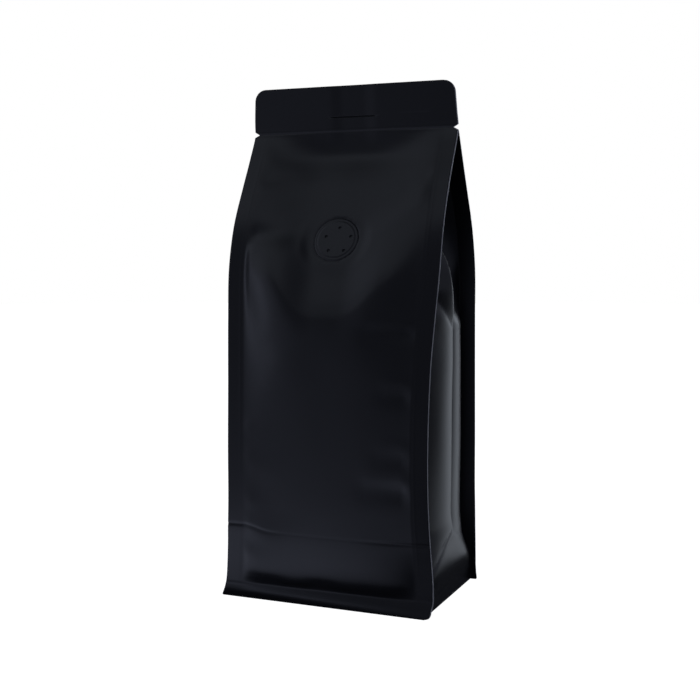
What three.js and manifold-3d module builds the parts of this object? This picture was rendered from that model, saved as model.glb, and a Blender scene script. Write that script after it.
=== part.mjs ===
// Flat-bottom coffee bag of black matt film: a filled, shut pouch. Its front, back and side films are
// sealed together in four corner fins and a skirt round the base, the side gussets fold in below a flat
// header with two tear notches, and a one-way valve is set in the front panel.
// Millimetres, +Z up. The bag stands on z = 0, its front faces -Y, and the origin is the middle of its base.

import * as THREE from "three";
import { LoftGeometry } from "three/addons/geometries/LoftGeometry.js";
import { mergeVertices } from "three/addons/utils/BufferGeometryUtils.js";
import Module from "manifold-3d";

const { smoothstep, lerp, degToRad } = THREE.MathUtils;

// Driving dimensions of the pouch
const PANEL_WIDTH = 115; // front and back panels, from fin edge to fin edge
const BAG_HEIGHT = 268;
const BASE_WIDTH = 117; // from skirt edge to skirt edge
const BASE_DEPTH = 82.5;
const GUSSET_HALF = 40; // half a side gusset, from a fin's root to the centre fold
const SEAL_WIDTH = 8; // how far the corner fins stand out
const FIN_THICKNESS = 0.8;
const FIN_TILT = 33; // degrees that a full bag pulls its fins out of the panels' planes
const TILT_FULL = 45; // the tilt has grown to its full angle at this height,
const TILT_FADES = 165; // starts to fade here
const TILT_ENDS = 235; // and is gone here
const WAIST = 3.6; // how far the fin edges draw in where the panels bulge most
const WAIST_HEIGHT = 165; // the draw-in runs from the floor to here
const TOP_TAPER = 0.8; // how far the fin edges draw in below the header
const TAPER_START = 190;
const SWAY = 1.2; // the filled middle stands this far to the right of the base and header

// Header, above the tear notches
const HEADER_HEIGHT = 24;
const HEADER_THICKNESS = 1.2;
const HEADER_CORNER = 6;
const NOTCH_DEPTH = 2.6;
const NOTCH_HEIGHT = 3;
const NOTCH_CLEARANCE = 1; // from the notches down to where the gussets end
const HEADER_OVERLAP = 2.5; // length of header that runs down between the fins

// Skirt and base
const SKIRT_HEIGHT = 6.5;
const SKIRT_CORNER = 4;
const SKIRT_EDGE = 0.8; // thickness at the floor
const CHANNEL_INSET = 7; // the groove under the skirt, between it and the base panel
const CHANNEL_HEIGHT = 4;
const BASE_INSET = 12.5; // the base panel's flat part, in from the skirt's edge

// Side fold: the gusset's creases meet here, and above it the gusset turns inwards
const FOLD_START = 140;
const FOLD_END = 182;
const FOLD_CLOSES = 222; // the fold grows shallow from here to the header
const FOLD_LEFT = 0.15; // share of its depth at the header

// Side profile, from the skirt to the header: height and half the depth between the fin edges
const FIN_EDGE_PROFILE = [
  [6.5, 37.2], [20, 39.3], [45, 42.2], [80, 43.4], [120, 41], [150, 36.4],
  [175, 31.8], [195, 26], [215, 16.2], [232, 6.8], [243, 1.1],
];
// Height and how far the middle of the front or back panel stands out from the fins' roots
const PANEL_BULGE_PROFILE = [
  [6.5, 0.2], [20, 3.4], [45, 6.4], [90, 8], [120, 9.4], [145, 11],
  [165, 8.4], [187, 2.7], [210, -0.9], [228, -1.2], [243, 0],
];
// Height and how far the gusset's middle stands out from the fins' roots
const GUSSET_BULGE_PROFILE = [
  [6.5, 1.5], [28, 6], [85, 7.2], [140, 6.2], [162, 2.4], [182, 0], [243, 0],
];
const PANEL_CROWN = 2.4; // power of the panel's curve across its width

// Valve
const VALVE_HEIGHT = 187;
const VALVE_RADIUS = 12;
const VALVE_DISC_RADIUS = 10; // the part inside the ring groove
const VALVE_PROUD = 0.7;
const VALVE_DEPTH = 1.4; // below the panel's face
const VALVE_GROOVE = 0.8;
const RIM_SLOPE = 0.4; // the rim's slope down into the groove
const DISC_SLOPE = 0.6; // the disc's slope down into the groove
const VALVE_GAP = 0.35; // between the valve and its pocket
const VENT_COUNT = 5;
const VENT_CIRCLE = 7;
const VENT_RADIUS = 0.7;
const VENT_DEPTH = 1.2;

// Fineness of the facets
const PANEL_STEPS = 8; // from the panel's middle to a fin
const FIN_STEPS = 5; // root, middle, edge, edge, middle and root again
const GUSSET_STEPS = 8; // from a fin to the gusset's middle
const LEVELS = 34;
const VALVE_STEPS = 40;
const VENT_STEPS = 10;
const CORNER_STEPS = 6;

const wasm = await Module();
wasm.setup();

const FILM = new THREE.MeshStandardMaterial({ color: 0x17181c, roughness: 0.55, metalness: 0 });
const VALVE_PLASTIC = new THREE.MeshStandardMaterial({ color: 0x1b1c21, roughness: 0.5, metalness: 0 });

const bodyTop = BAG_HEIGHT - HEADER_HEIGHT - NOTCH_CLEARANCE;

// A smooth curve through [height, value] pairs, as a function of height.
function profile(pairs) {
  const heights = pairs.map(([height]) => height);
  const values = pairs.map(([, value]) => value);
  const curve = new THREE.CubicInterpolant(heights, values, 1);
  return (z) => curve.evaluate(z)[0];
}

const finEdgeDepth = profile(FIN_EDGE_PROFILE);
const panelBulge = profile(PANEL_BULGE_PROFILE);
const gussetBulge = profile(GUSSET_BULGE_PROFILE);

// Half the distance between the fin edges, which draw in round the bag's middle.
function finEdgeWidth(z) {
  const along = THREE.MathUtils.clamp(z / WAIST_HEIGHT, 0, 1);
  const waist = WAIST * Math.sin(Math.PI * along) ** 2;
  return PANEL_WIDTH / 2 - waist - TOP_TAPER * smoothstep(z, TAPER_START, bodyTop);
}

// The front right corner fin at a height: its root and edge on the panel's side, and its thickness
// towards the gusset.
function finAt(z) {
  const tilted = smoothstep(z, SKIRT_HEIGHT, TILT_FULL) * (1 - smoothstep(z, TILT_FADES, TILT_ENDS));
  const tilt = degToRad(FIN_TILT) * tilted;
  const out = new THREE.Vector2(Math.cos(tilt), -Math.sin(tilt));
  const back = new THREE.Vector2(Math.sin(tilt), Math.cos(tilt)).multiplyScalar(FIN_THICKNESS);
  const edge = new THREE.Vector2(finEdgeWidth(z), -finEdgeDepth(z));
  const root = edge.clone().addScaledVector(out, -SEAL_WIDTH);
  return { root, edge, back };
}

// The front panel at a distance from its middle.
function panelPoint(x, z) {
  const { root } = finAt(z);
  const crown = 1 - Math.abs(x / root.x) ** PANEL_CROWN;
  return new THREE.Vector3(x, root.y - panelBulge(z) * crown, z);
}

// The right gusset between the fin's root and the centre fold. Up to FOLD_START it bulges. Above it a
// crease climbs outwards at 45 degrees, and between the two creases the gusset falls straight in to the
// centre fold.
function gussetX(distance, root, z) {
  const half = -root.y;
  const bulged = (y) => root.x + gussetBulge(z) * (1 - (y / half) ** 2);
  const crease = Math.min(z - FOLD_START, half);
  if (distance >= crease) return bulged(distance);
  const reach = Math.sqrt(Math.max(GUSSET_HALF ** 2 - half ** 2, 0));
  const closing = lerp(1, FOLD_LEFT, smoothstep(z, FOLD_CLOSES, bodyTop));
  const centre = bulged(0) - reach * smoothstep(z, FOLD_START, FOLD_END) * closing;
  return lerp(centre, bulged(crease), distance / crease);
}

// A quarter of the bag's outline at a height, from the middle of the front to the middle of the right gusset.
function bagQuarter(z) {
  const { root, edge, back } = finAt(z);
  const points = [];
  for (let i = 0; i <= PANEL_STEPS; i++) {
    points.push(panelPoint((root.x * i) / PANEL_STEPS, z));
  }
  const middle = root.clone().lerp(edge, 0.5);
  const gussetRoot = root.clone().add(back);
  const fin = [middle, edge, edge.clone().add(back), middle.clone().add(back), gussetRoot];
  fin.forEach((p) => points.push(new THREE.Vector3(p.x, p.y, z)));
  for (let i = 1; i <= GUSSET_STEPS; i++) {
    const distance = -gussetRoot.y * (1 - i / GUSSET_STEPS);
    points.push(new THREE.Vector3(gussetX(distance, gussetRoot, z), -distance, z));
  }
  return points;
}

// A quarter of a rounded rectangle under the bag, with as many points as the bag's own outline.
function baseQuarter(inset, z) {
  const halfX = BASE_WIDTH / 2 - inset;
  const halfY = BASE_DEPTH / 2 - inset;
  const corner = new THREE.Vector2(halfX - SKIRT_CORNER, SKIRT_CORNER - halfY);
  const points = [];
  for (let i = 0; i <= PANEL_STEPS; i++) {
    points.push(new THREE.Vector3((corner.x * i) / PANEL_STEPS, -halfY, z));
  }
  for (let i = 1; i <= FIN_STEPS; i++) {
    const turn = (Math.PI / 2) * (i / FIN_STEPS);
    const x = corner.x + SKIRT_CORNER * Math.sin(turn);
    const y = corner.y - SKIRT_CORNER * Math.cos(turn);
    points.push(new THREE.Vector3(x, y, z));
  }
  for (let i = 1; i <= GUSSET_STEPS; i++) {
    points.push(new THREE.Vector3(halfX, corner.y * (1 - i / GUSSET_STEPS), z));
  }
  return points;
}

// How far the bag's outline at a height stands to the right.
function swayAt(z) {
  return SWAY * Math.sin((Math.PI * z) / bodyTop) ** 2;
}

// A whole outline, anticlockwise from above: the quarter, then its mirror images, shifted by the sway.
function wholeOutline(quarter) {
  const there = quarter.slice(0, -1);
  const backAgain = quarter.slice(1).reverse();
  const placed = (p, x, y) => new THREE.Vector3(p.x * x + swayAt(p.z), p.y * y, p.z);
  const mirrored = (points, x, y) => points.map((p) => placed(p, x, y));
  return [
    ...mirrored(there, 1, 1),
    ...mirrored(backAgain, 1, -1),
    ...mirrored(there, -1, -1),
    ...mirrored(backAgain, -1, 1),
  ];
}

// A closed three.js geometry as a solid that can be joined and cut.
function solidOf(geometry) {
  const bare = new THREE.BufferGeometry();
  bare.setAttribute("position", geometry.attributes.position);
  bare.setIndex(geometry.index);
  const merged = mergeVertices(bare, 1e-4);
  const vertProperties = new Float32Array(merged.attributes.position.array);
  const triVerts = new Uint32Array(merged.index.array);
  return new wasm.Manifold(new wasm.Mesh({ numProp: 3, vertProperties, triVerts }));
}

function geometryOf(solid) {
  const { vertProperties, triVerts } = solid.getMesh();
  const geometry = new THREE.BufferGeometry();
  geometry.setAttribute("position", new THREE.BufferAttribute(vertProperties, 3));
  geometry.setIndex(new THREE.BufferAttribute(triVerts, 1));
  geometry.computeVertexNormals();
  return geometry;
}

// The filled pouch, from the base panel and its skirt up to where the header starts.
function pouchBody() {
  const rings = [
    baseQuarter(BASE_INSET, 0),
    baseQuarter(CHANNEL_INSET, CHANNEL_HEIGHT),
    baseQuarter(SKIRT_EDGE, 0),
    baseQuarter(0, SKIRT_EDGE),
  ];
  for (let i = 0; i <= LEVELS; i++) {
    rings.push(bagQuarter(lerp(SKIRT_HEIGHT, bodyTop, i / LEVELS)));
  }
  return new LoftGeometry(rings.map(wholeOutline), { capStart: true, capEnd: true });
}

// The flat sealed header, with round top corners.
function header() {
  const half = finEdgeWidth(bodyTop);
  const foot = bodyTop - HEADER_OVERLAP;
  const outline = new THREE.Shape();
  outline.moveTo(-half, foot);
  outline.lineTo(half, foot);
  outline.lineTo(half, BAG_HEIGHT - HEADER_CORNER);
  outline.absarc(half - HEADER_CORNER, BAG_HEIGHT - HEADER_CORNER, HEADER_CORNER, 0, Math.PI / 2);
  outline.absarc(HEADER_CORNER - half, BAG_HEIGHT - HEADER_CORNER, HEADER_CORNER, Math.PI / 2, Math.PI);
  outline.closePath();
  const plate = new THREE.ExtrudeGeometry(outline, {
    depth: HEADER_THICKNESS,
    bevelEnabled: false,
    curveSegments: CORNER_STEPS,
  });
  return plate.rotateX(Math.PI / 2).translate(0, HEADER_THICKNESS / 2, 0);
}

// A wedge that cuts a tear notch in the right (1) or left (-1) edge.
function notchCutter(side) {
  const edge = finEdgeWidth(bodyTop);
  const notchHeight = BAG_HEIGHT - HEADER_HEIGHT;
  const reach = 1; // past the edge
  const slope = NOTCH_HEIGHT / 2 / NOTCH_DEPTH;
  const outline = new THREE.Shape();
  outline.moveTo(edge - NOTCH_DEPTH, notchHeight);
  outline.lineTo(edge + reach, notchHeight - slope * (NOTCH_DEPTH + reach));
  outline.lineTo(edge + reach, notchHeight + slope * (NOTCH_DEPTH + reach));
  outline.closePath();
  const length = 10;
  const wedge = new THREE.ExtrudeGeometry(outline, { depth: length, bevelEnabled: false });
  wedge.rotateX(Math.PI / 2).translate(0, length / 2, 0);
  return side > 0 ? wedge : wedge.rotateZ(Math.PI);
}

// Where the valve sits: a frame on the front panel, its +Y pointing out of the bag.
function valveSeat() {
  const step = 1;
  const seat = new THREE.Object3D();
  seat.position.copy(panelPoint(0, VALVE_HEIGHT));
  seat.position.x += swayAt(VALVE_HEIGHT);
  const up = panelPoint(0, VALVE_HEIGHT + step).sub(panelPoint(0, VALVE_HEIGHT - step)).normalize();
  const out = new THREE.Vector3(1, 0, 0).cross(up).normalize();
  seat.quaternion.setFromRotationMatrix(new THREE.Matrix4().makeBasis(out.clone().cross(up), out, up));
  seat.updateMatrix();
  return seat;
}

function valvePocket(seat) {
  const height = 10; // far enough to clear the panel's curve
  const radius = VALVE_RADIUS + VALVE_GAP;
  const pocket = new THREE.CylinderGeometry(radius, radius, height, VALVE_STEPS);
  pocket.translate(0, height / 2 - VALVE_DEPTH - VALVE_GAP, 0);
  return pocket.applyMatrix4(seat.matrix);
}

// The valve: a low disc inside a ring groove, with vents through the film that covers it.
function valveGeometry() {
  const groove = VALVE_DISC_RADIUS + VALVE_GROOVE;
  const outline = [
    [0, -VALVE_DEPTH],
    [VALVE_RADIUS, -VALVE_DEPTH],
    [VALVE_RADIUS, 0],
    [groove + RIM_SLOPE, VALVE_PROUD / 2],
    [groove, 0],
    [VALVE_DISC_RADIUS, 0],
    [VALVE_DISC_RADIUS - DISC_SLOPE, VALVE_PROUD],
    [0, VALVE_PROUD],
  ].map(([radius, height]) => new THREE.Vector2(radius, height));
  let valve = solidOf(new THREE.LatheGeometry(outline, VALVE_STEPS));
  for (let i = 0; i < VENT_COUNT; i++) {
    const turn = (2 * Math.PI * i) / VENT_COUNT;
    const vent = new THREE.CylinderGeometry(VENT_RADIUS, VENT_RADIUS, 2 * VENT_DEPTH, VENT_STEPS);
    vent.translate(VENT_CIRCLE * Math.sin(turn), VALVE_PROUD, VENT_CIRCLE * Math.cos(turn));
    valve = valve.subtract(solidOf(vent));
  }
  return geometryOf(valve);
}

const seat = valveSeat();
const pouch = solidOf(pouchBody())
  .add(solidOf(header()))
  .subtract(solidOf(notchCutter(1)))
  .subtract(solidOf(notchCutter(-1)))
  .subtract(solidOf(valvePocket(seat)));

const bag = new THREE.Mesh(geometryOf(pouch), FILM);
bag.name = "bag";

const valve = new THREE.Mesh(valveGeometry(), VALVE_PLASTIC);
valve.name = "valve";
valve.position.copy(seat.position);
valve.quaternion.copy(seat.quaternion);

const coffeeBag = new THREE.Group();
coffeeBag.add(bag, valve);

export default coffeeBag;
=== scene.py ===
# %% [markdown]
# A flat bottom coffee bag in matt black film.
# The real bag is five flat films: a front, a back, two side gussets and a base. They are heat sealed
# along their borders, which leaves a flat fin down each corner, a skirt round the base and a flat
# header at the top. This lesson makes it the same way: each film is a grid that is bent into place
# and then given its thickness.

# %% Load the frame
import math
from bisect import bisect_right
from functools import lru_cache, partial
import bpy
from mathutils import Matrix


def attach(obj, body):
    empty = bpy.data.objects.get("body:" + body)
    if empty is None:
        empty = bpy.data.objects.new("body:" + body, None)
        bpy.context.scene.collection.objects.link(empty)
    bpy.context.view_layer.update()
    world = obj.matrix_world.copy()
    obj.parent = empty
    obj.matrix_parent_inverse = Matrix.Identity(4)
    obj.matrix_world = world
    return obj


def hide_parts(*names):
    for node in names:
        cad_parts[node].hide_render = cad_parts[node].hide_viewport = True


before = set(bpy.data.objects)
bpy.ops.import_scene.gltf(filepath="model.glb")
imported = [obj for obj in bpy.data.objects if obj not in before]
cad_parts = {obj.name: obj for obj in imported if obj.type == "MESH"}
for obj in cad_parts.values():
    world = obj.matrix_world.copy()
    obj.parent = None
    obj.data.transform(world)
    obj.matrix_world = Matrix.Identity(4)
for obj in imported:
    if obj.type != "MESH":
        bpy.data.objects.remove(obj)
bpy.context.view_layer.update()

from types import SimpleNamespace

import bmesh
import bpy
from mathutils import Matrix, Vector, noise

MM = 0.001  # the sizes below are in millimetres, and Blender's are in metres

# %% [markdown]
# The camera stands where the photographer stood: a little to the right of the front, and a little
# above the middle. Its lens, distance and turn were found by fitting the bag's corners, so the
# outline falls where it should.

# %% Camera
CAMERA_TURN = math.radians(21.57)  # to the right of the front
CAMERA_PITCH = math.radians(4.53)  # looking down
CAMERA_DISTANCE = 620.25
CAMERA_LENS = 59.75
SENSOR_WIDTH = 36
NEAREST = 10  # what is closer to the camera isn't drawn
AIM_RIGHT = -1.4  # the point it looks at: to the right of the bag's axis
AIM_HEIGHT = 128.68  # and above the floor

camera_back = Vector((
    math.sin(CAMERA_TURN) * math.cos(CAMERA_PITCH),
    -math.cos(CAMERA_TURN) * math.cos(CAMERA_PITCH),
    math.sin(CAMERA_PITCH),
))
camera_right = Vector((math.cos(CAMERA_TURN), math.sin(CAMERA_TURN), 0))
aim = camera_right * AIM_RIGHT + Vector((0, 0, AIM_HEIGHT))
camera_data = bpy.data.cameras.new("photo_camera")
camera_data.lens = CAMERA_LENS
camera_data.sensor_width = SENSOR_WIDTH
camera_data.clip_start = NEAREST * MM
camera = bpy.data.objects.new("photo_camera", camera_data)
camera.location = (aim + camera_back * CAMERA_DISTANCE) * MM
camera.rotation_euler = camera_back.to_track_quat("Z", "Y").to_euler()
bpy.context.scene.collection.objects.link(camera)
bpy.context.scene.camera = camera
print("camera at", [round(c, 3) for c in camera.location])

# %% [markdown]
# The bag's shape is a stack of cross-sections. A few curves say how each one changes with height:
# how wide it is, how far it leans to the right, how deep it is at its fin edges and in the middle of
# its panels, and how far the gussets bulge. A smooth curve through a few points is easy to adjust,
# which a long list would not be.

# %% Curves by height
BAG_HEIGHT = 268
SEAL = 8.7  # width of a fin
FILM = 0.35  # one film's thickness
SKIRT_TOP = 7.5  # the skirt's seal ends here, and the bag begins to swell
NOTCH_HEIGHT = 244  # the header is above it
GUSSET_HALF = 40  # from a fin's root to the gusset's centre fold


def smooth_curve(pairs):
    """A smooth curve through (height, value) pairs, as a function of height."""
    heights = [height for height, _ in pairs]
    values = [value for _, value in pairs]
    last = len(pairs) - 1
    slopes = []
    for i in range(len(pairs)):
        before, after = max(i - 1, 0), min(i + 1, last)
        slopes.append((values[after] - values[before]) / (heights[after] - heights[before]))

    def at(height):
        if height <= heights[0]:
            return values[0]
        if height >= heights[last]:
            return values[last]
        i = bisect_right(heights, height) - 1
        span = heights[i + 1] - heights[i]
        t = (height - heights[i]) / span
        rise = values[i + 1] - values[i]
        start, end = slopes[i] * span, slopes[i + 1] * span
        return values[i] + t * (start + t * (3 * rise - 2 * start - end + t * (start + end - 2 * rise)))

    return at


def fade(x, low, high):
    """0 below low, 1 above high, and smooth between."""
    t = min(max((x - low) / (high - low), 0), 1)
    return t * t * (3 - 2 * t)


def mix(a, b, t):
    """a where t is 0, and b where it is 1."""
    return a + (b - a) * t


def bump(x, width):
    """A round ridge, 1 at x = 0."""
    return math.exp(-((x / width) ** 2))


half_width = smooth_curve([
    (0, 58), (2, 57.6), (4, 57.2), (SKIRT_TOP, 57), (20, 56.4), (36, 55.4), (56, 54.5), (80, 54.2),
    (106, 54.4), (126, 55), (146, 56.1), (170, 57.4), (190, 57.5), (220, 57), (NOTCH_HEIGHT, 57),
    (252, 56.7), (BAG_HEIGHT, 55.8),
])
lean = smooth_curve([
    (0, 0), (SKIRT_TOP, 0.9), (20, 1.3), (45, 1.6), (80, 1.7), (116, 1.5), (146, 1), (170, 0.7),
    (200, 0.6), (236, 0.7), (NOTCH_HEIGHT, 0.6), (252, 0.1), (BAG_HEIGHT, -0.4),
])
edge_depth = smooth_curve([
    (0, 40.8), (3, 40.8), (6, 40.3), (9, 39.7), (20, 39.9), (45, 42.2), (80, 43.4),
    (120, 41), (150, 36.4), (175, 31.8), (195, 26), (215, 16.2), (232, 6.8), (240, 2.4),
    (NOTCH_HEIGHT, 0.75), (247, 2 * FILM), (BAG_HEIGHT, 2 * FILM),
])
middle_depth = smooth_curve([
    (0, 40.8), (2, 40.9), (4, 40.8), (6, 40.3), (7, 40), (7.8, 39.8), (8.6, 39.9), (10, 40.6), (12, 41.9),
    (15, 42.9), (20, 43.7), (26, 44.3), (36, 45), (60, 46.2), (90, 47), (120, 46.8), (136, 46),
    (146, 44.4), (153, 41.8), (160, 38.7), (170, 34), (187, 25.8), (204, 17.6), (216, 11.4), (222, 7.8),
    (226, 5.2), (229, 3.4), (232, 2.1), (236, 1.2), (240, 0.85), (NOTCH_HEIGHT, 2 * FILM),
    (BAG_HEIGHT, 2 * FILM),
])
gusset_bulge = smooth_curve([
    (0, 0), (SKIRT_TOP, 0), (10, 0.2), (13, 1.2), (18, 3.3), (24, 5), (30, 6.2), (36, 7.3),
    (45, 7.9), (60, 8.4), (85, 8.7), (120, 8.6), (140, 7.8), (150, 7.6), (157, 7.2), (163, 6.2),
    (172, 4), (178, 2), (182, 0), (BAG_HEIGHT, 0),
])
print("half width at the floor and at mid height:", half_width(0), round(half_width(BAG_HEIGHT / 2), 1))

# %% [markdown]
# One cross-section needs only a corner: the fin's root, its direction and its edge. The other three
# corners are made the same way, and each fin has its own bend. Near the floor the films turn out into
# the skirt, and at the header everything lies flat together.

# %% A corner at a height
RIGHT_TILT = math.radians(-13)  # how far each fin bends forwards from its panel's plane
LEFT_TILT = math.radians(4)
BACK_TILT = math.radians(10)  # for a back fin, forwards is away from the bag
BEND_START = (SKIRT_TOP, 45)  # the fins begin to bend between these heights
BEND_END = (165, 235)  # and are straight again between these
SIDE_SLANT = 0.02  # the skirt stands a little askew: its sides
FRONT_SLANT = 0.027  # and its front and back
FOOT_BLEND = 42  # height where a front corner of the gusset has its full shape
BACK_BLEND = 31  # and a back one
SKIRT_SIDE = 54.4  # half the width between the skirt's sides, within the flared fins


def skirt(z):
    """1 at the floor, and 0 from the top of the skirt upwards."""
    return 1 - min(z / SKIRT_TOP, 1)


@lru_cache(maxsize=None)
def corner(z, tilt=RIGHT_TILT):
    """A right corner at height z, as seen from its panel: the fin's root, direction and edge.

    The gusset's film is sealed behind the fin, and has its own root.
    """
    blend = BACK_BLEND if tilt == BACK_TILT else FOOT_BLEND
    tilt *= fade(z, *BEND_START) * (1 - fade(z, *BEND_END))
    out = Vector((math.cos(tilt), -math.sin(tilt)))
    behind = Vector((math.sin(tilt), math.cos(tilt))) * 2 * FILM
    edge = Vector((half_width(z), -edge_depth(z)))
    gusset_seal = mix(half_width(z) - SKIRT_SIDE, SEAL, fade(z, SKIRT_TOP, blend))
    return SimpleNamespace(
        edge=edge,
        out=out,
        root=edge - out * SEAL,
        gusset_seal=gusset_seal,
        gusset_root=edge - out * gusset_seal + behind,
    )


def placed(x, y, z):
    """A point of the bag, with the bag's lean and its skirt's slant."""
    askew = skirt(z)
    return Vector((x + lean(z) + SIDE_SLANT * askew * y, y - FRONT_SLANT * askew * x, z))


print("fin edge at 110 mm:", [round(c, 1) for c in corner(110.0).edge])

# %% [markdown]
# The front panel swells between the two fins, and leaves each of them level, as a sealed film does.
# A column of the grid is named by a station: from -1 to 1 it crosses the panel, and from 1 to 2 it
# runs along the fin to its edge. That edge is trimmed by the round corners of the header and foot
# and by the two tear notches, so only the fin's columns draw in. At the top of the filling the panel
# begins to lean back, and it does so higher up by the fins than in the middle.

# %% Panel surface
HEADER_CORNER = 6  # radius of the header's corners
FOOT_CORNER = 0.6  # and of the fins' corners at the foot
FOOT_ROUND = 3  # the foot corner of the front right fin is rounder
NOTCH_DEPTH = 2.6
NOTCH_HALF = 1.5  # half of a notch's height at the edge


def round_off(distance, radius):
    """How far a corner of that radius cuts in, at a distance from the end of the edge."""
    if distance >= radius:
        return 0
    return radius - math.sqrt(radius ** 2 - (radius - distance) ** 2)


@lru_cache(maxsize=None)
def edge_cut(z, foot=FOOT_CORNER):
    """How much the film's edge is cut back at a height, with that radius at its foot."""
    notch = NOTCH_DEPTH * max(1 - abs(z - NOTCH_HEIGHT) / NOTCH_HALF, 0)
    return max(notch, round_off(BAG_HEIGHT - z, HEADER_CORNER), round_off(z, foot))


SHOULDER_RISE = 31  # the filling stands this much higher by the fins than in the middle
SHOULDER_LEFT = (0.12, 0.92)  # it rises between these shares of the way to the left fin
SHOULDER_RIGHT = (0.12, 1.05)  # and to the right one
SHOULDER_START = (118, 150)  # it begins between these heights
SHOULDER_END = (160, 212)  # and fades out between these
SWELL_BLEND = (5, 50)  # the swelling changes from the foot's to the panel's between these heights
SWELL_FOOT = 9  # how squarely it reaches the fins, at the foot
SWELL_PANEL = 2.6  # and above it
SWELL_MEET = 1.5  # how level it leaves them


def shoulder(inner, side, z):
    """How much higher the filling's top edge is at a station, fading out towards the header."""
    rise = SHOULDER_RISE * fade(inner, *(SHOULDER_RIGHT if side > 0 else SHOULDER_LEFT))
    return rise * fade(z, *SHOULDER_START) * (1 - fade(z, *SHOULDER_END))


def swell(inner, z):
    """How much of the panel's swelling is left at a station: all in the middle, none at a fin."""
    power = mix(SWELL_FOOT, SWELL_PANEL, fade(z, *SWELL_BLEND))
    return (1 - inner ** power) ** SWELL_MEET


def panel_spot(station, z, back=False):
    """A point of the front or back film, without its relief. The back is the front turned half way."""
    side = 1 if station >= 0 else -1
    face = -1 if back else 1
    tilt = RIGHT_TILT if side > 0 else LEFT_TILT
    here = corner(z, BACK_TILT if back else tilt)
    inner = min(abs(station), 1)
    along = max(abs(station) - 1, 0)
    foot = FOOT_ROUND if side > 0 and not back else FOOT_CORNER
    flat = here.root + here.out * along * (SEAL - edge_cut(z, foot))
    if not along:
        middle = middle_depth(z - shoulder(inner, side, z))
        flat = Vector((here.root.x * inner, -mix(-here.root.y, middle, swell(inner, z))))
    return placed(face * side * flat.x, face * flat.y, z)


def back_spot(station, z):
    return panel_spot(station, z, back=True)


print("front at mid height:", [round(c, 1) for c in panel_spot(0.0, BAG_HEIGHT / 2)])

# %% [markdown]
# The gusset is the film between two fins. Where the bag is full it bulges in two lobes, with a sharp
# valley where it was once folded in half. At the top of the filling that valley turns off to the front
# fin. There the front half still stands out while the back half is already tucked in behind it, and
# above both fall in to the centre fold, which ends up flat inside the header. Two more creases run
# down to the foot's corners.

# %% Gusset surface
FOOT_POWER = 8  # how square the gusset's section is at the foot
LOBE_POWER = 2  # and where it bulges
LOW_FOLD = 36  # height where the lower creases meet
VALLEY = 1.6  # depth of the old centre fold
VALLEY_WIDTH = 9
VALLEY_BACK = 2.5  # it lies a little behind the middle
VALLEY_START = (LOW_FOLD - 4, LOW_FOLD + 10)  # it begins between these heights
VALLEY_END = (14, 22)  # and fades out between these rises above its turn
FOLD_START = 141  # height where the valley turns off
FOLD_SLOPE = 1.55  # forwards for each millimetre up
TUCK = 2.6  # width of the tuck behind the front half
RIDGE_POWER = 1.1  # the front half ends in a ridge with nearly straight sides
RIDGE_SHARP = 172  # height where it has them
RIDGE_GONE = (182, 192)  # the ridge dies out between these heights
TUCKED_STRAIGHT = 12  # rise above the turn where the back half has straight sides
TUCKED_IN = 196  # height where it has fallen in to the centre fold
LIP = 0.35  # the gusset film is cut this much wider than the panel at two of the corners
LIP_START = 1.95  # station where that lip begins
TINY = 1e-6  # allows for rounding, and for a division where the films meet

tuck_line = smooth_curve([(FOLD_START, 0), (150, -3), (160, -6.8), (171, -11), (180, -15.5), (190, -24)])
tuck_ridge = smooth_curve([(FOLD_START, 7.8), (150, 8.6), (161, 8.5), (171, 7.8), (180, 5.6), (190, 0.5)])


@lru_cache(maxsize=None)
def gusset_level(z, side):
    """What the gusset's shape needs at a height: side 1 is the right gusset, -1 the left."""
    ends = (corner(z, RIGHT_TILT if side > 0 else LEFT_TILT), corner(z, BACK_TILT))
    halves = [-end.gusset_root.y for end in ends]
    reach = math.sqrt(max(GUSSET_HALF ** 2 - (sum(halves) / 2) ** 2, 0))
    bulge = gusset_bulge(z)
    power = mix(FOOT_POWER, LOBE_POWER, fade(z, 0, FOOT_BLEND))
    folded = max(z - FOLD_START, 0)
    return SimpleNamespace(
        ends=ends,
        halves=halves,
        tuck=tuck_line(z),
        ridge=tuck_ridge(z) if folded else bulge,
        ridge_power=mix(power, RIDGE_POWER, fade(z, FOLD_START, RIDGE_SHARP)),
        tucked=bulge - (reach + bulge) * fade(z, FOLD_START, TUCKED_IN),
        tucked_power=mix(power, 1, fade(folded, 0, TUCKED_STRAIGHT)),
        gone=fade(z, *RIDGE_GONE),
        valley=VALLEY * fade(z, *VALLEY_START) * (1 - fade(folded, *VALLEY_END)),
        valley_y=VALLEY_BACK - folded * FOLD_SLOPE,
    )


def gusset_out(y, here):
    """How far the gusset stands out from its fins' roots at a depth, on a level."""
    front, back = (max(half, TINY) for half in here.halves)
    part = min(abs(y) / (back if y > 0 else front), 1)
    tucked = here.tucked * (1 - part ** here.tucked_power)
    if y < here.tuck:
        part = min((here.tuck - y) / max(front + here.tuck, TINY), 1)
        lobe = here.ridge * (1 - part ** here.ridge_power)
    else:
        lobe = mix(here.ridge, tucked, fade(y - here.tuck, 0, TUCK))
    out = mix(lobe, tucked, here.gone)
    return out - here.valley * math.exp(-abs(y - here.valley_y) / VALLEY_WIDTH)


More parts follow.
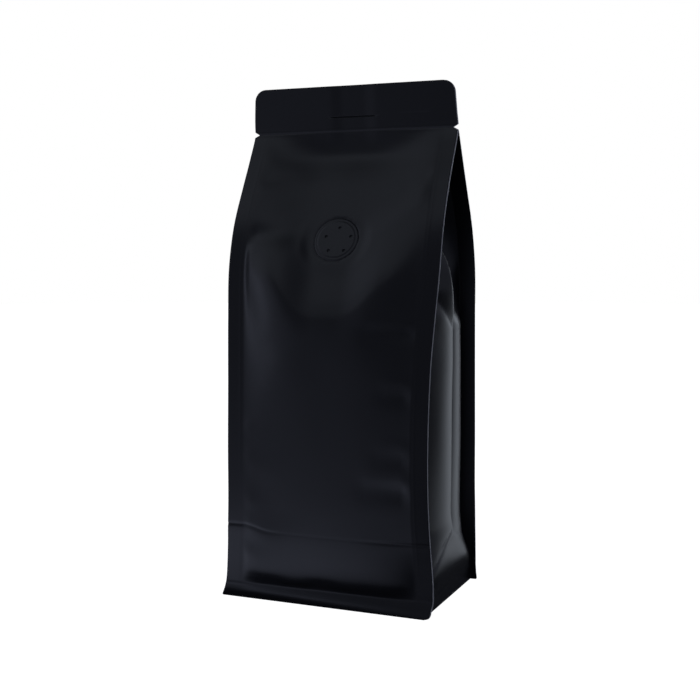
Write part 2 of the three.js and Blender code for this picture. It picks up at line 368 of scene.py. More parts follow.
def gusset_spot(side):
    """The place of a point of one gusset film, which runs from -2 to 2."""
    def spot(station, z):
        station *= side  # from the front to the back, on either side
        here = gusset_level(z, side)
        end = here.ends[station > 0]
        along = max(abs(station) - 1, 0)
        if along:
            lip = LIP * fade(along, LIP_START - 1, 1) if station * side < 0 else 0
            foot = FOOT_ROUND if side > 0 > station else FOOT_CORNER
            width = max(end.gusset_seal - edge_cut(z, foot), 0)
            flat = end.gusset_root + end.out * (along * width + lip)
            return placed(side * flat.x, math.copysign(flat.y, station), z)
        y = here.halves[station > 0] * station
        x = mix(here.ends[0].gusset_root.x, here.ends[1].gusset_root.x, (station + 1) / 2)
        if z < NOTCH_HEIGHT:
            x += gusset_out(y, here)
        else:
            x -= GUSSET_HALF * (1 - abs(station))
        return placed(side * x, y, z)

    return spot


print("gusset centre at 85 mm:", [round(c, 1) for c in gusset_spot(1)(0.0, 85.0)])

# %% [markdown]
# A film starts as a flat grid. Its columns and rows are closer together where it creases, so the
# fine folds are real geometry. Each vertex is moved to its place, then pushed along its normal by
# the film's relief: dents, puckers and creases. Two numbers stay on each vertex for the finish: how
# much it is sealed, and how much highlight is painted on it along its creases and score line. Last,
# the sheet gets its thickness inwards, and its cut edge a paler material.

# %% Film builder
def steps(*runs):
    """Stations from runs of (start, end, step), each divided evenly."""
    found = [runs[0][0]]
    for start, end, step in runs:
        count = max(round((end - start) / step), 1)
        found += [start + (end - start) * (i + 1) / count for i in range(count)]
    return found


def object_from(name, bm, *materials):
    """An object in the scene from finished geometry, with its materials."""
    mesh = bpy.data.meshes.new(name)
    bm.to_mesh(mesh)
    bm.free()
    for material in materials:
        mesh.materials.append(material)
    made = bpy.data.objects.new(name, mesh)
    bpy.context.scene.collection.objects.link(made)
    print(name, len(mesh.polygons), "faces")
    return made


def film_sheet(name, columns, rows, spot, relief, seal, pale_highlight, materials, lip=0):
    """A film from a grid. Its place, relief, seal and painted highlight are functions of station and
    height.

    The lip, where it has one, is on the side of its first (-1) or last (1) column.
    """
    bm = bmesh.new()
    bmesh.ops.create_grid(bm, x_segments=len(columns) - 1, y_segments=len(rows) - 1, size=1)
    seal_layer = bm.verts.layers.float.new("seal")
    pale_highlight_layer = bm.verts.layers.float.new("pale_highlight")
    uv_layer = bm.loops.layers.uv.new("film")
    place = {}
    for v in bm.verts:
        column = columns[round((v.co.x + 1) / 2 * (len(columns) - 1))]
        row = rows[round((v.co.y + 1) / 2 * (len(rows) - 1))]
        place[v] = (column, row)
        v.co = spot(column, row) * MM
        v[seal_layer] = seal(column, row)
        # how much highlight is painted here, along a crease or the score line
        v[pale_highlight_layer] = pale_highlight(column, row)
    bm.normal_update()
    shifts = {v: v.normal * relief(*place[v]) * MM for v in bm.verts}
    for v, shift in shifts.items():
        v.co += shift
    for face in bm.faces:
        face.smooth = True
        if lip and all(lip * place[v][0] > LIP_START - TINY for v in face.verts):
            face.material_index = 1
        for loop in face.loops:
            column, row = place[loop.vert]
            loop[uv_layer].uv = (column, row / BAG_HEIGHT)
    piece = object_from(name, bm, *materials)
    thickness = piece.modifiers.new("film thickness", "SOLIDIFY")
    thickness.thickness = FILM * MM
    thickness.offset = -1
    thickness.material_offset_rim = 1
    return piece


# %% [markdown]
# Matt film is nearly black and has no sharp reflection, but it is never one flat tone. Its coat has a
# fine grain, its gloss drifts a little from place to place, the pressed seals are smoother, and a
# highlight is painted as a paler tone along sharp creases and the score line. Where the film is cut,
# the paler layers inside it show.

# %% Film finish
COAT_TINT = (0.95, 0.96, 1, 1)  # the coat's reflection is a little blue
FILM_TONES = ((0.0040, 0.0042, 0.0062, 1), (0.0060, 0.0063, 0.0088, 1))  # it drifts between these
PALE_HIGHLIGHT_TONE = (0.05, 0.05, 0.055, 1)  # painted highlight along creases and the score line
EDGE_TONES = ((0.7, 0.7, 0.71, 1), (0.9, 0.9, 0.91, 1))  # the cut edge drifts between these
EDGE_ROUGHNESS = 0.5
FILM_ROUGHNESS = (0.30, 0.38)
SEAL_SMOOTHER = 0.04  # a pressed seal is this much less rough
FILM_GLOSS = 0.5
GRAIN_STRENGTH = 0.08
GRAIN_DEPTH = 0.1


def shader(name):
    """A new material with its nodes, links and main shader."""
    material = bpy.data.materials.new(name)
    material.use_nodes = True
    nodes = material.node_tree.nodes
    return material, nodes, material.node_tree.links, nodes["Principled BSDF"]


def noise_node(nodes, links, scale, detail):
    """A cloudy pattern from 0 to 1. A larger scale is finer."""
    coordinates = nodes.new("ShaderNodeTexCoord")
    texture = nodes.new("ShaderNodeTexNoise")
    texture.inputs["Scale"].default_value = scale
    texture.inputs["Detail"].default_value = detail
    links.new(coordinates.outputs["Object"], texture.inputs["Vector"])
    return texture.outputs["Fac"]


def ranged(nodes, links, source, low, high):
    """A 0 to 1 value turned into one from low to high."""
    node = nodes.new("ShaderNodeMapRange")
    node.inputs["To Min"].default_value = low
    node.inputs["To Max"].default_value = high
    links.new(source, node.inputs["Value"])
    return node.outputs["Result"]


def blended(nodes, links, factor, a, b):
    """Colour a where the factor is 0, and b where it is 1. Either may be a colour or a socket."""
    node = nodes.new("ShaderNodeMix")
    node.data_type = "RGBA"
    links.new(factor, node.inputs["Factor"])
    for socket, value in ((node.inputs["A"], a), (node.inputs["B"], b)):
        if isinstance(value, tuple):
            socket.default_value = value
        else:
            links.new(value, socket)
    return node.outputs["Result"]


def combined(nodes, links, operation, a, b):
    """One step of arithmetic. Either value may be a number or a socket."""
    node = nodes.new("ShaderNodeMath")
    node.operation = operation
    for socket, value in ((node.inputs[0], a), (node.inputs[1], b)):
        if isinstance(value, (int, float)):
            socket.default_value = value
        else:
            links.new(value, socket)
    return node.outputs["Value"]


def stored(nodes, name):
    """A number that the mesh carries on its vertices."""
    node = nodes.new("ShaderNodeAttribute")
    node.attribute_name = name
    return node.outputs["Fac"]


def film_finish():
    """The outside of the film."""
    material, nodes, links, main = shader("matt_film")
    tone = blended(nodes, links, noise_node(nodes, links, scale=22, detail=3), *FILM_TONES)
    # painted highlight: a paler tone where the mesh marks a crease or the score line
    tone = blended(nodes, links, stored(nodes, "pale_highlight"), tone, PALE_HIGHLIGHT_TONE)
    links.new(tone, main.inputs["Base Color"])
    rough = ranged(nodes, links, noise_node(nodes, links, scale=14, detail=4), *FILM_ROUGHNESS)
    smoother = ranged(nodes, links, stored(nodes, "seal"), 0, -SEAL_SMOOTHER)
    links.new(combined(nodes, links, "ADD", rough, smoother), main.inputs["Roughness"])
    main.inputs["Specular IOR Level"].default_value = FILM_GLOSS
    main.inputs["Specular Tint"].default_value = COAT_TINT
    grain = nodes.new("ShaderNodeBump")
    grain.inputs["Strength"].default_value = GRAIN_STRENGTH
    grain.inputs["Distance"].default_value = GRAIN_DEPTH * MM
    links.new(noise_node(nodes, links, scale=2600, detail=2), grain.inputs["Height"])
    links.new(grain.outputs["Normal"], main.inputs["Normal"])
    return material


def cut_edge_finish():
    """The film's cut edge, where the paler layers inside it show."""
    material, nodes, links, main = shader("cut_edge")
    tone = blended(nodes, links, noise_node(nodes, links, scale=160, detail=2), *EDGE_TONES)
    links.new(tone, main.inputs["Base Color"])
    main.inputs["Roughness"].default_value = EDGE_ROUGHNESS
    return material


FILM_MATERIALS = (film_finish(), cut_edge_finish())
print("materials:", [material.name for material in FILM_MATERIALS])

# %% [markdown]
# The front film is dented where the coffee presses unevenly, and puckered where its fins pull. Each
# pucker is a line through a few points with a height and a width. The fold left from when the empty
# bag was packed flat crosses it low down, and a score line joins the two notches.

# %% Panel relief
PANEL_COLUMNS = steps(
    (-2, -1.9, 0.05), (-1.9, -1.3, 0.1), (-1.3, -1.12, 0.03), (-1.12, -1, 0.04), (-1, -0.94, 0.012),
    (-0.94, 0.94, 0.021), (0.94, 1, 0.012), (1, 1.12, 0.04), (1.12, 1.3, 0.03), (1.3, 1.9, 0.1),
    (1.9, 2, 0.05))
FILM_ROWS = steps(
    (0, 1, 0.5), (1, 5.5, 0.9), (5.5, 10, 0.3), (10, 16, 0.75), (16, 30, 1.2), (30, 42, 0.6),
    (42, 222, 1.4), (222, 240, 1), (240, 242, 0.5), (242, 246, 0.25), (246, 250, 1), (250, 250.9, 0.3),
    (250.9, 252.3, 0.1), (252.3, 253.2, 0.3), (253.2, 260, 1.1), (260, 266, 0.6), (266, BAG_HEIGHT, 0.2))
SEAL_BAR = 6.8  # width pressed by the sealing bar, from the fin's edge
SEAL_RIDGE = 0.04  # the film rises this much beside the bar
CREASE_HEIGHT = 37  # of the fold from packing
CREASE_LIFT = 2.4  # it is this much higher by the left fin
CREASE_DEPTH = 0.4
CREASE_RIDGE = 0.15  # height of the soft ridge under it
CREASE_FAINT = 0.12  # share of it that is left in the middle of the panel
FOOT_PULL = 0.3  # how far the panel pulls in above the skirt
FOOT_PULL_HEIGHT = 12
DENTS = ((46, 52, 0, 0.55), (19, 23, 7.3, 0.16))  # size across and up, shift of the seed, and depth
DASH_HEIGHT = 251.6  # of the short line pressed into the header
DASH_END = (11, 15)  # it ends between these distances from the middle
THIN_LEFT = (-13, -5)  # the header's thin middle begins between these places
THIN_RIGHT = (6, 14)  # and ends between these
THIN_START = (234, 243)  # heights where it begins
PALE_HEIGHT = 252.6  # of a short paler line on the header
FOLD_FADE = 0.6  # share of its height that a pucker loses along its line
FOLD_SPREAD = 0.5  # and how much wider it gets
FRONT_FOLDS = (  # height, width, and points across and up: it widens and fades towards the last
    (0.2, 4, ((-49, 230), (-32, 225))),
    (-0.3, 3.2, ((-50, 219), (-33, 218))),
    (0.25, 4, ((-50, 212.5), (-34, 213))),
    (-0.4, 9, ((-18, 221), (-17, 205))),
    (-1.1, 5, ((-46, 189), (-14, 192))),
    (-0.4, 2.4, ((49, 221), (35, 214.5))),
    (0.8, 5, ((50, 211), (20, 189))),
    (1.3, 9, ((-47, 178), (-36, 158), (-24, 138), (-19, 120))),
    (0.6, 10, ((-22, 122), (-22, 104))),
    (0.7, 4.5, ((-46, 92), (-38, 88))),
    (0.7, 4.5, ((-46, 76), (-34, 71))),
    (0.7, 4.5, ((-47, 54), (-37, 48))),
    (0.7, 4, ((-48, 43), (-38, 39))),
    (0.6, 4, ((-48, 25), (-40, 22))),
    (0.6, 3, ((50, 146), (24, 147))),
    (-1.1, 3.6, ((52, 140), (26, 141))),
    (0.6, 3, ((50, 116), (35, 116))),
    (-1, 3.4, ((52, 110), (34, 111))),
    (0.6, 3, ((50, 85), (32, 85))),
    (-1, 3.4, ((52, 79), (31, 80))),
    (0.7, 3.4, ((50, 70), (26, 70))),
    (-1.5, 4.2, ((53, 61.5), (24, 63))),
)
BACK_FOLDS = (
    (-0.6, 3.2, ((-51, 213), (-31, 209))),
    (-0.6, 3.4, ((51, 219), (34, 216))),
    (0.8, 7, ((48, 170), (30, 146), (21, 128))),
    (0.6, 10, ((-17, 128), (-20, 104))),
    (-0.6, 4, ((-52, 121), (-30, 124))),
    (-0.8, 4.2, ((-53, 66), (-27, 68))),
    (0.4, 3.4, ((-50, 74), (-29, 75))),
    (-0.6, 3.4, ((52, 96), (33, 97))),
    (0.5, 4.5, ((47, 52), (36, 46))),
)


def line_place(x, z, points):
    """The distance to a line through some points, and how far along it the nearest place is, 0 to 1."""
    nearest, along = 1e9, 0
    runs = len(points) - 1
    for i, ((ax, az), (bx, bz)) in enumerate(zip(points, points[1:])):
        across, up = bx - ax, bz - az
        t = ((x - ax) * across + (z - az) * up) / (across ** 2 + up ** 2)
        t = min(max(t, 0), 1)
        distance = math.hypot(x - ax - t * across, z - az - t * up)
        if distance < nearest:
            nearest, along = distance, (i + t) / runs
    return nearest, along


def folds_at(x, z, folds):
    """The height of all the puckers at a place."""
    total = 0
    for height, width, points in folds:
        distance, along = line_place(x, z, points)
        total += height * (1 - FOLD_FADE * along) * bump(distance, width * (1 + FOLD_SPREAD * along))
    return total


def soft_dents(x, z, seed):
    """Broad shallow hollows and swellings, without a pattern."""
    total = 0
    for across, up, shift, depth in DENTS:
        total += depth * noise.noise(Vector((x / across, z / up, seed + shift)))
    return total


def crease_line(x):
    return CREASE_HEIGHT + CREASE_LIFT * fade(-x, 30, 46)


def packing_crease(x, z):
    """The fold left across the panel from packing: deep near the fins, faint in the middle."""
    strength = mix(CREASE_FAINT, 1, max(fade(-x, 20, 40), fade(x, 14, 40)))
    above = z - crease_line(x)
    return strength * (CREASE_RIDGE * bump(above + 3, 4) - CREASE_DEPTH * bump(above, 0.7))


def foot_waves(x, z):
    """The panel pulls in unevenly above the skirt."""
    wave = math.cos(x / 6.2) + 0.6 * math.cos(x / 3.9 + 1)
    return -FOOT_PULL * (1 + 0.6 * wave) * bump(z - FOOT_PULL_HEIGHT, 2.6)


def dash(x, z):
    """1 along the short line pressed into the header."""
    return bump(z - DASH_HEIGHT, 0.28) * (1 - fade(abs(x), *DASH_END))


def header_relief(x, z, dash_depth):
    """The header's middle is thinner, with no gusset in it. It has a score line and a pressed dash."""
    thin = -FILM * fade(x, *THIN_LEFT) * (1 - fade(x, *THIN_RIGHT)) * fade(z, *THIN_START)
    above = z - NOTCH_HEIGHT
    score = 0.1 * bump(above - 0.9, 0.5) - 0.16 * bump(above, 0.35)
    return thin + score + dash_depth * dash(x, z)


def panel_x(station, z):
    """How far across the bag a station is."""
    return station * corner(z).root.x


def panel_relief(seed, folds, dash_depth):
    """The relief of a panel. The dash is pressed into the front, and stands out of the back."""
    def relief(station, z):
        x = panel_x(station, z)
        if abs(station) > 1:
            from_edge = (2 - abs(station)) * SEAL
            bar = SEAL_RIDGE * bump(from_edge - SEAL_BAR, 0.5)
            bar *= fade(z, 16, 30) * (1 - fade(z, 228, 236))
            return bar + packing_crease(x, z) + header_relief(x, z, dash_depth)
        inward = corner(z).root.x - abs(x)
        free = fade(inward, 0, 12) * fade(z, SKIRT_TOP + 1, 26) * (1 - fade(z, 226, 240))
        total = free * soft_dents(x, z, seed) + fade(inward, -1, 5) * folds_at(x, z, folds)
        total += packing_crease(x, z) + foot_waves(x, z) * fade(inward, 0, 8)
        return total + header_relief(x, z, dash_depth)

    return relief


def panel_seal(station, z):
    """1 on the fins, the skirt and the header."""
    foot = 1 - fade(z, SKIRT_TOP - 0.5, SKIRT_TOP)
    return max(fade(abs(station), 1.2, 1.24), foot, fade(z, 245, 246))


def panel_pale_highlight(station, z):
    """A highlight painted along the score line, and a short paler line on the header."""
    x = panel_x(station, z)
    line = 0.12 * bump(z - PALE_HEIGHT, 0.5) * fade(x, 24, 29) * (1 - fade(x, 40, 45))
    # the score line's highlight is painted as a paler tone
    return 0.45 * bump(z - NOTCH_HEIGHT - 0.25, 0.45) + line


# %% [markdown]
# The film lies flat round the valve and dips under it, so that the valve sits in it. The back film is
# made like the front one, without the valve and with its own dents.

# %% Front and back films
VALVE_HEIGHT = 187
VALVE_ACROSS = 0.6  # to the right of the panel's middle
VALVE_RADIUS = 12  # the film is flat this far from the valve's middle
VALVE_FLAT = 20  # and has its own shape again from here
VALVE_DIP = 0.6  # how far the film dips under the valve
DASH_DEPTH = 0.55  # of the line pressed into the header

valve_right = Vector((1, 0, 0))
valve_centre = panel_spot(0.0, VALVE_HEIGHT) + valve_right * VALVE_ACROSS
valve_up = panel_spot(0.0, VALVE_HEIGHT + 2.0) - panel_spot(0.0, VALVE_HEIGHT - 2.0)
valve_up.x = 0
valve_up.normalize()
valve_out = valve_right.cross(valve_up)
print("valve leans back", round(math.degrees(math.atan2(valve_up.y, valve_up.z)), 1), "degrees")


def front_spot(station, z):
    """The front film, flattened round the valve and sunk under it."""
    p = panel_spot(station, z)
    offset = p - valve_centre
    radius = math.hypot(offset.dot(valve_right), offset.dot(valve_up))
    if abs(station) > 1 or radius > VALVE_FLAT:
        return p
    flat = fade(VALVE_FLAT - radius, 0, VALVE_FLAT - VALVE_RADIUS)
    dip = VALVE_DIP * (1 - fade(radius, VALVE_RADIUS - 0.7, VALVE_RADIUS + 0.1))
    return p - valve_out * (offset.dot(valve_out) * flat + dip)


def front_relief(station, z):
    """The front film's relief, which dies out towards the valve."""
    radius = (panel_spot(station, z) - valve_centre).length
    return front_dents(station, z) * fade(radius, VALVE_RADIUS + 1, VALVE_FLAT + 4)


front_dents = panel_relief(seed=3.1, folds=FRONT_FOLDS, dash_depth=-DASH_DEPTH)
back_relief = panel_relief(seed=11.6, folds=BACK_FOLDS, dash_depth=DASH_DEPTH)
front_film = film_sheet(
    "front_film", PANEL_COLUMNS, FILM_ROWS, front_spot, front_relief, panel_seal, panel_pale_highlight,
    FILM_MATERIALS)
back_film = film_sheet(
    "back_film", PANEL_COLUMNS, FILM_ROWS, back_spot, back_relief, panel_seal, panel_pale_highlight,
    FILM_MATERIALS)

# %% [markdown]
# The two gusset films carry the sharpest folds: the diagonal creases at the top and bottom and the old
# centre fold. Each diagonal has a highlight painted along it as a paler line, and the lower ones are
# pressed in a little. At two of the corners the film is cut a little wider than the panel, and its
# paler cut edge shows there as a thin lip.

# %% Gusset films
GUSSET_COLUMNS = steps(
    (-2, -LIP_START, 0.05), (-LIP_START, -1.08, 0.1), (-1.08, -1, 0.04), (-1, -0.93, 0.014),
    (-0.93, -0.1, 0.017), (-0.1, 0.1, 0.0125), (0.1, 0.93, 0.017), (0.93, 1, 0.014), (1, 1.08, 0.04),
    (1.08, 1.9, 0.1), (1.9, 2, 0.05))
GUSSET_DENTS = 0.7  # share of the panels' dents
UPPER_WIDTH = 0.9  # of the crease that climbs to the front fin
UPPER_END = (158, 163)  # it fades out between these heights
# how strongly a highlight is painted along the upper crease
UPPER_HIGHLIGHT = 0.5
LOW_FOLD_SLOPE = 2.4  # outwards for each millimetre down, along the lower creases
LOWER_WIDTH = 1.2
LOWER_DEPTH = 0.4
# how strongly a highlight is painted along the lower creases
LOWER_HIGHLIGHT = 0.9
BACK_CREASE = 0.3  # strength of the lower crease to the back, beside the one to the front


def gusset_y(station, z, side):
    """How far back a station of a gusset is."""
    return gusset_level(z, side).halves[side * station > 0] * side * station


def upper_crease(y, z):
    """1 along the valley that climbs from the top of the filling to the front fin."""
    distance = (VALLEY_BACK - y - (z - FOLD_START) * FOLD_SLOPE) / math.hypot(1, FOLD_SLOPE)
    strength = fade(z, FOLD_START - 1, FOLD_START + 3) * (1 - fade(z, *UPPER_END))
    return strength * bump(distance, UPPER_WIDTH)


def lower_crease(y, z):
    """1 along the two creases that run down to the foot corners."""
    distance = (abs(y) - (LOW_FOLD - z) * LOW_FOLD_SLOPE) / math.hypot(1, LOW_FOLD_SLOPE)
    strength = fade(z, 5, 9) * (1 - fade(z, LOW_FOLD - 2, LOW_FOLD + 1))
    return strength * bump(distance, LOWER_WIDTH) * (BACK_CREASE if y > 0 else 1)


def gusset_relief(side, seed):
    """The relief of one gusset film. In the header it follows the dash of the panels."""
    def relief(station, z):
        if z > NOTCH_HEIGHT:
            x = side * (corner(z).gusset_root.x - GUSSET_HALF * (1 - min(abs(station), 1)))
            return -math.copysign(DASH_DEPTH, side * station) * dash(x, z)
        if abs(station) > 1:
            return 0
        y = gusset_y(station, z, side)
        free = fade(1 - abs(station), 0.03, 0.25) * fade(z, SKIRT_TOP + 1, 24) * (1 - fade(z, 150, 200))
        return GUSSET_DENTS * free * soft_dents(y, z, seed) - LOWER_DEPTH * lower_crease(y, z)

    return relief


def gusset_seal(station, z):
    """1 on the fins and the skirt."""
    return max(fade(abs(station), 1, 1.02), 1 - fade(z, SKIRT_TOP - 0.5, SKIRT_TOP))


def gusset_pale_highlight(side):
    """The highlight painted along one gusset film's diagonal creases."""
    def pale_highlight(station, z):
        y = gusset_y(station, z, side)
        return UPPER_HIGHLIGHT * upper_crease(y, z) + LOWER_HIGHLIGHT * lower_crease(y, z)

    return pale_highlight


def gusset_film(name, side, seed):
    return film_sheet(
        name, GUSSET_COLUMNS, FILM_ROWS, gusset_spot(side), gusset_relief(side, seed), gusset_seal,
        gusset_pale_highlight(side), FILM_MATERIALS, lip=-1)


right_gusset = gusset_film("right_gusset_film", side=1, seed=21.4)
left_gusset = gusset_film("left_gusset_film", side=-1, seed=33.9)

# %% [markdown]
# The base film is sealed inside the skirt. From the skirt's edge it climbs to a groove, and then comes
# down to the flat panel that the bag stands on. It is one square grid, drawn out ring by ring.

# %% Base film
BASE_STEPS = steps((-1, -0.74, 0.02), (-0.74, 0.74, 0.037), (0.74, 1, 0.02))
BASE_CORNER = 4
BASE_LIFT = 0.05  # the flat panel's height above the floor
BASE_HOLLOW = 0.3  # how far its middle is drawn in
base_height = smooth_curve([  # by the distance from the middle, as a share
    (0, 0), (0.76, 0), (0.8, 0.4), (0.86, 3.6), (0.885, 4.3), (0.91, 3.9), (1, 0.75)])


def base_spot(across, along):
    """A point of the base film, which faces down."""
    ring = max(abs(across), abs(along))
    half = Vector((SKIRT_SIDE, edge_depth(0) - 2 * FILM))
    spot = Vector((abs(across) * half.x, abs(along) * half.y))
    radius = BASE_CORNER * ring
    centre = half * ring - Vector((radius, radius))
    beyond = spot - centre
    if min(beyond) > 0 and beyond.length > radius:
        spot = centre + beyond * (radius / beyond.length)
    x = math.copysign(spot.x, across)
    y = math.copysign(spot.y, along)
    return placed(x, -y, 0) + Vector((0, 0, base_height(ring) + BASE_LIFT))


def base_seal(across, along):
    """1 where the base is sealed inside the skirt."""
    return fade(max(abs(across), abs(along)), 0.9, 0.92)


def base_relief(across, along):
    """The flat panel is uneven, and hollow in the middle."""
    flat = 1 - fade(max(abs(across), abs(along)), 0.5, 0.74)
    return -BASE_HOLLOW * flat * (1 + noise.noise(Vector((across * 2.2, along * 2.2, 5.5))))


def unmarked(across, along):
    """No highlight is painted anywhere on the base."""
    return 0


base_film = film_sheet(
    "base_film", BASE_STEPS, BASE_STEPS, base_spot, base_relief, base_seal, unmarked, FILM_MATERIALS)

# %% [markdown]
# The one-way valve is a small disc under the film. Its outline shows as a double ring, and five
# pinholes let the gas out. A profile spun round the valve's axis makes the rings, and the disc inside
# them is filled with its holes open.

# %% Valve
VALVE_PROUD = 0.4  # how far the disc's face stands out
RING_STEPS = 96
VENT_STEPS = 20
VENT_RADIUS = 0.95
VENT_CIRCLE = 7.1  # the pinholes lie on a circle of this radius
VENT_SHIFT = (1.05, -0.6)  # which is punched a little off the middle
VENT_COUNT = 5
VENT_DEPTH = 0.8
DISC_RADIUS = 9.6
VALVE_TONES = ((0.0045, 0.0047, 0.0068, 1), (0.0065, 0.0068, 0.0094, 1))  # it drifts between these
VALVE_ROUGHNESS = (0.34, 0.42)
VALVE_GLOSS = 0.55
MERGE = 1e-4  # corners closer than this are one
LEVEL = 0.999  # a face whose normal is this upright is flat
RING_PROFILE = (  # distance from the middle and height, outwards from the disc
    (DISC_RADIUS, VALVE_PROUD), (9.95, 0.35), (10.3, 0.22), (10.6, 0.17), (10.9, 0.2), (11.2, 0.22),
    (11.6, 0.16), (11.9, 0.03), (12.1, -0.2), (12.2, -0.6),
)


def valve_finish():
    """The film over the valve, which is a little rougher."""
    material, nodes, links, main = shader("valve_film")
    tone = blended(nodes, links, noise_node(nodes, links, scale=60, detail=3), *VALVE_TONES)
    links.new(tone, main.inputs["Base Color"])
    rough = ranged(nodes, links, noise_node(nodes, links, scale=40, detail=3), *VALVE_ROUGHNESS)
    links.new(rough, main.inputs["Roughness"])
    main.inputs["Specular IOR Level"].default_value = VALVE_GLOSS
    main.inputs["Specular Tint"].default_value = COAT_TINT
    return material


def ring_of(bm, radius, height, count, centre):
    """A circle of edges round a point of the valve's face."""
    place = Matrix.Translation((centre[0], centre[1], height))
    made = bmesh.ops.create_circle(bm, segments=count, radius=radius, matrix=place)
    return list({edge for v in made["verts"] for edge in v.link_edges})


def pushed_down(bm, edges, depth):
    """Extrudes a ring of edges along the valve's axis, and gives the new ring."""
    made = bmesh.ops.extrude_edge_only(bm, edges=edges)["geom"]
    moved = [item for item in made if isinstance(item, bmesh.types.BMVert)]
    bmesh.ops.translate(bm, vec=(0, 0, -depth), verts=moved)
    return [item for item in made if isinstance(item, bmesh.types.BMEdge)]


bm = bmesh.new()
profile = [bm.verts.new((radius, 0, height)) for radius, height in RING_PROFILE]
edges = [bm.edges.new(pair) for pair in zip(profile, profile[1:])]
bmesh.ops.spin(
    bm, geom=profile + edges, cent=(0, 0, 0), axis=(0, 0, 1), angle=2 * math.pi, steps=RING_STEPS,
    use_merge=True)
bmesh.ops.remove_doubles(bm, verts=bm.verts, dist=MERGE)
open_edges = [e for e in bm.edges if e.is_boundary]
rim = [e for e in open_edges if e.verts[0].co.z > 0]
bmesh.ops.edgeloop_fill(bm, edges=[e for e in open_edges if e.verts[0].co.z < 0])
vents = []
for i in range(VENT_COUNT):
    turn = 2 * math.pi * i / VENT_COUNT
    across = VENT_SHIFT[0] + VENT_CIRCLE * math.sin(turn)
    up = VENT_SHIFT[1] + VENT_CIRCLE * math.cos(turn)
    vents.append(ring_of(bm, VENT_RADIUS, VALVE_PROUD, VENT_STEPS, (across, up)))
bmesh.ops.triangle_fill(bm, use_beauty=True, edges=rim + [e for vent in vents for e in vent])
for vent in vents:
    bmesh.ops.edgeloop_fill(bm, edges=pushed_down(bm, vent, VENT_DEPTH))
bmesh.ops.recalc_face_normals(bm, faces=bm.faces)
for face in bm.faces:
    face.smooth = abs(face.normal.z) < LEVEL
seat = Matrix((valve_right, valve_up, valve_out)).transposed().to_4x4()
seat.translation = valve_centre
bmesh.ops.transform(bm, matrix=Matrix.Scale(MM, 4) @ seat, verts=bm.verts)
valve = object_from("valve_disc", bm, valve_finish())

# %% [markdown]
# Every film stands for the solid bag, and the disc for the solid valve. Nothing on this bag moves, so
# all of it rides on the one body.

# %% Join to the frame
films = (front_film, back_film, right_gusset, left_gusset, base_film)
for film in films:
    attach(film, "root")
    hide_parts("bag")
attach(valve, "root")
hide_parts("valve")
print(len(films), "films and the valve ride on the one body")

# %% [markdown]
# The photograph has a plain white ground with no shadow, so the floor glows white and only the camera
# sees it. The film mirrors something else: a table that is dark in the bag's shade, and brighter on the
# side of the window and behind, where white paper lies on it. So a second disc glows like that table,
# and the camera doesn't see it.

# %% Stage
FLOOR_TONE = (0.9, 0.9, 0.9, 1)
WHITE = (1, 1, 1, 1)
GROUND_RADIUS = 4  # of both discs, in metres
GROUND_STEPS = 64
LIGHT_TINT = (0.74, 0.79, 1)  # the light from the windows is cool
PAPER_TINT = (0.83, 0.9, 1)  # and that from above and from white paper less so
TABLE_DROP = 0.2  # how far below the white floor the table lies
TABLE_SHADE = 0.03  # the table's brightness in the bag's own shade
TABLE_LIT = 0.31  # added on the side that the window lights
TABLE_CLOSE = 1.5  # and how much more of that there is close to the bag
TABLE_PAPER = 0.66  # added behind, where white paper lies on it
LIT_SIDE = -50  # the window's side, as a turn to the right of the front
LIT_EDGE = (-0.2, 1)  # the lit side begins and is full at these cosines from that direction
SHADE_EDGE = (6, 34)  # the shade fades between these distances from the foot
PAPER_SHADE = (40, 90)  # and between these on the paper
CLOSE_EDGE = (40, 180)  # what is added close to the bag fades between these
PAPER_FRONT = (-20, 60)  # the paper begins between these places, from front to back
PAPER_RIGHT = (20, 190)  # and ends between these on the right
PAPER_SLANT = 0.45  # its right edge turns outwards to the back by this much


def floor_finish():
    """Plain white, whatever light falls on it."""
    material, _, _, main = shader("white_floor")
    main.inputs["Base Color"].default_value = FLOOR_TONE
    main.inputs["Roughness"].default_value = 0.9
    main.inputs["Specular IOR Level"].default_value = 0
    main.inputs["Emission Color"].default_value = WHITE
    main.inputs["Emission Strength"].default_value = 1
    return material


def toward(turn, height):
    """The direction at a turn to the right of the front and a height above level, in degrees."""
    turn, height = math.radians(turn), math.radians(height)
    level = math.cos(height)
    return Vector((math.sin(turn) * level, -math.cos(turn) * level, math.sin(height)))


def vector_step(nodes, links, operation, source, value=None):
    """One step of vector arithmetic, and its result."""
    node = nodes.new("ShaderNodeVectorMath")
    node.operation = operation
    links.new(source, node.inputs[0])
    if value is not None:
        node.inputs[1].default_value = value
    return node.outputs["Value" if operation in ("LENGTH", "DOT_PRODUCT") else "Vector"]


def soft_step(nodes, links, source, edges, first, last):
    """A value that goes smoothly from first to last as the source crosses between two edges."""
    node = nodes.new("ShaderNodeMapRange")
    node.interpolation_type = "SMOOTHSTEP"
    for name, value in zip(("From Min", "From Max", "To Min", "To Max"), (*edges, first, last)):
        node.inputs[name].default_value = value
    links.new(source, node.inputs["Value"])
    return node.outputs["Result"]


def tinted_sum(nodes, links, *parts):
    """The colour of several lights together, from their tints and strengths."""
    total = None
    for tint, strength in parts:
        node = nodes.new("ShaderNodeVectorMath")
        node.operation = "MULTIPLY_ADD"
        links.new(strength, node.inputs[0])
        node.inputs[1].default_value = tint
        if total:
            links.new(total, node.inputs[2])
        total = node.outputs["Vector"]
    return total


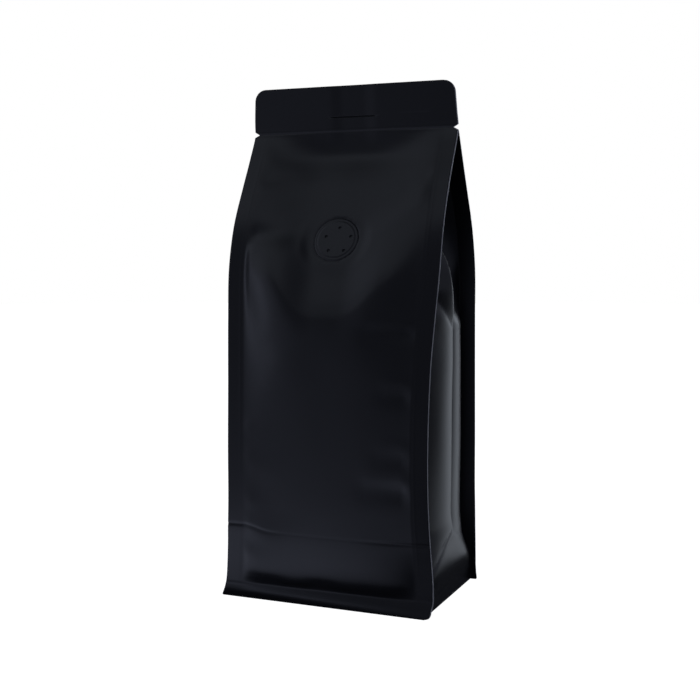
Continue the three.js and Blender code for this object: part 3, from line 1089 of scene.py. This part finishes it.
def table_finish():
    """Dark in the shade close to the bag, bright on the side of the window and behind."""
    material, nodes, links, main = shader("table")
    nodes.remove(main)
    vector = partial(vector_step, nodes, links)
    ramp = partial(soft_step, nodes, links)
    product = partial(combined, nodes, links, "MULTIPLY")
    place = nodes.new("ShaderNodeTexCoord").outputs["Object"]
    place = vector("DIVIDE", place, Vector((MM, MM, MM)))
    beyond = vector("SUBTRACT", vector("ABSOLUTE", place), Vector((half_width(0), edge_depth(0), 0)))
    away = vector("LENGTH", vector("MAXIMUM", beyond, Vector()))
    facing = vector("DOT_PRODUCT", vector("NORMALIZE", place), toward(LIT_SIDE, 0))
    lit = ramp(facing, LIT_EDGE, 0, TABLE_LIT)
    lit = product(lit, ramp(away, CLOSE_EDGE, 1 + TABLE_CLOSE, 1))
    lit = product(lit, ramp(away, SHADE_EDGE, 0, 1))
    lit = combined(nodes, links, "MAXIMUM", lit, TABLE_SHADE)
    across = vector("DOT_PRODUCT", place, Vector((1, -PAPER_SLANT, 0)))
    along = vector("DOT_PRODUCT", place, Vector((0, 1, 0)))
    paper = product(ramp(across, PAPER_RIGHT, TABLE_PAPER, 0), ramp(along, PAPER_FRONT, 0, 1))
    paper = product(paper, ramp(away, PAPER_SHADE, 0, 1))
    glow = nodes.new("ShaderNodeEmission")
    links.new(tinted_sum(nodes, links, (LIGHT_TINT, lit), (PAPER_TINT, paper)), glow.inputs["Color"])
    links.new(glow.outputs["Emission"], nodes["Material Output"].inputs["Surface"])
    return material


def ground(name, height, finish):
    """A wide disc under the bag, for the stage only."""
    bm = bmesh.new()
    bmesh.ops.create_circle(bm, cap_ends=True, segments=GROUND_STEPS, radius=GROUND_RADIUS)
    bmesh.ops.translate(bm, vec=(0, 0, height), verts=bm.verts)
    disc = object_from(name, bm, finish)
    return disc


floor = ground("floor", 0, floor_finish())
floor.visible_glossy = False
floor.visible_diffuse = False
table = ground("table", -TABLE_DROP * MM, table_finish())
table.visible_camera = False

# %% [markdown]
# The bag is lit by a dim room with a few soft lights in it. Each is a round patch of the sky with a
# direction and a soft rim, because a matt film shows where the light is and not its shape. Light from
# the windows is cooler than light from white paper, so each group has its own tint.

# %% Light
PAPER_LIGHTS = (  # turn to the right of the front, height, inner and outer half angle, strength
    (-69, 44, 22, 26, 0.25),  # a soft light above, on the left
    (-20, 51, 5, 18, 0.36),  # and a smaller one towards the front
    (194, -12, 25, 42, 1.60),  # the paper behind the bag
)
WINDOW_LIGHTS = (
    (-71, 6, 8, 14, 0.60),  # a window on the left
    (-68, 30, 9, 32, 0.22),  # and its upper part
    (-46, -5, 2, 38, 0.36),  # the room beside it
    (14, 33, 21, 48, 0.12),  # the dim room on the right
    (122, 3, 10, 40, 0.25),  # the room behind, to the right
    (66, 8, 14, 32, 0.25),  # a window on the right, which only the edges catch
)
ROOM_DARK = 0.03  # the room's own brightness


def studio_world():
    """White to the camera, and a dim room with a few soft lights to everything else."""
    world = bpy.data.worlds.new("studio")
    bpy.context.scene.world = world
    world.use_nodes = True
    nodes, links = world.node_tree.nodes, world.node_tree.links
    background = nodes["Background"]
    direction = nodes.new("ShaderNodeTexCoord").outputs["Generated"]
    parts = []
    for tint, lights, total in ((LIGHT_TINT, WINDOW_LIGHTS, ROOM_DARK), (PAPER_TINT, PAPER_LIGHTS, 0)):
        for turn, height, inner, outer, strength in lights:
            facing = vector_step(nodes, links, "DOT_PRODUCT", direction, toward(turn, height))
            edges = (math.cos(math.radians(outer)), math.cos(math.radians(inner)))
            glow = soft_step(nodes, links, facing, edges, 0, strength)
            total = combined(nodes, links, "ADD", glow, total)
        parts.append((tint, total))
    seen = nodes.new("ShaderNodeLightPath").outputs["Is Camera Ray"]
    colour = blended(nodes, links, seen, tinted_sum(nodes, links, *parts), WHITE)
    links.new(colour, background.inputs["Color"])
    print(len(WINDOW_LIGHTS) + len(PAPER_LIGHTS), "soft lights")


studio_world()
bpy.context.scene.view_settings.view_transform = "Standard"
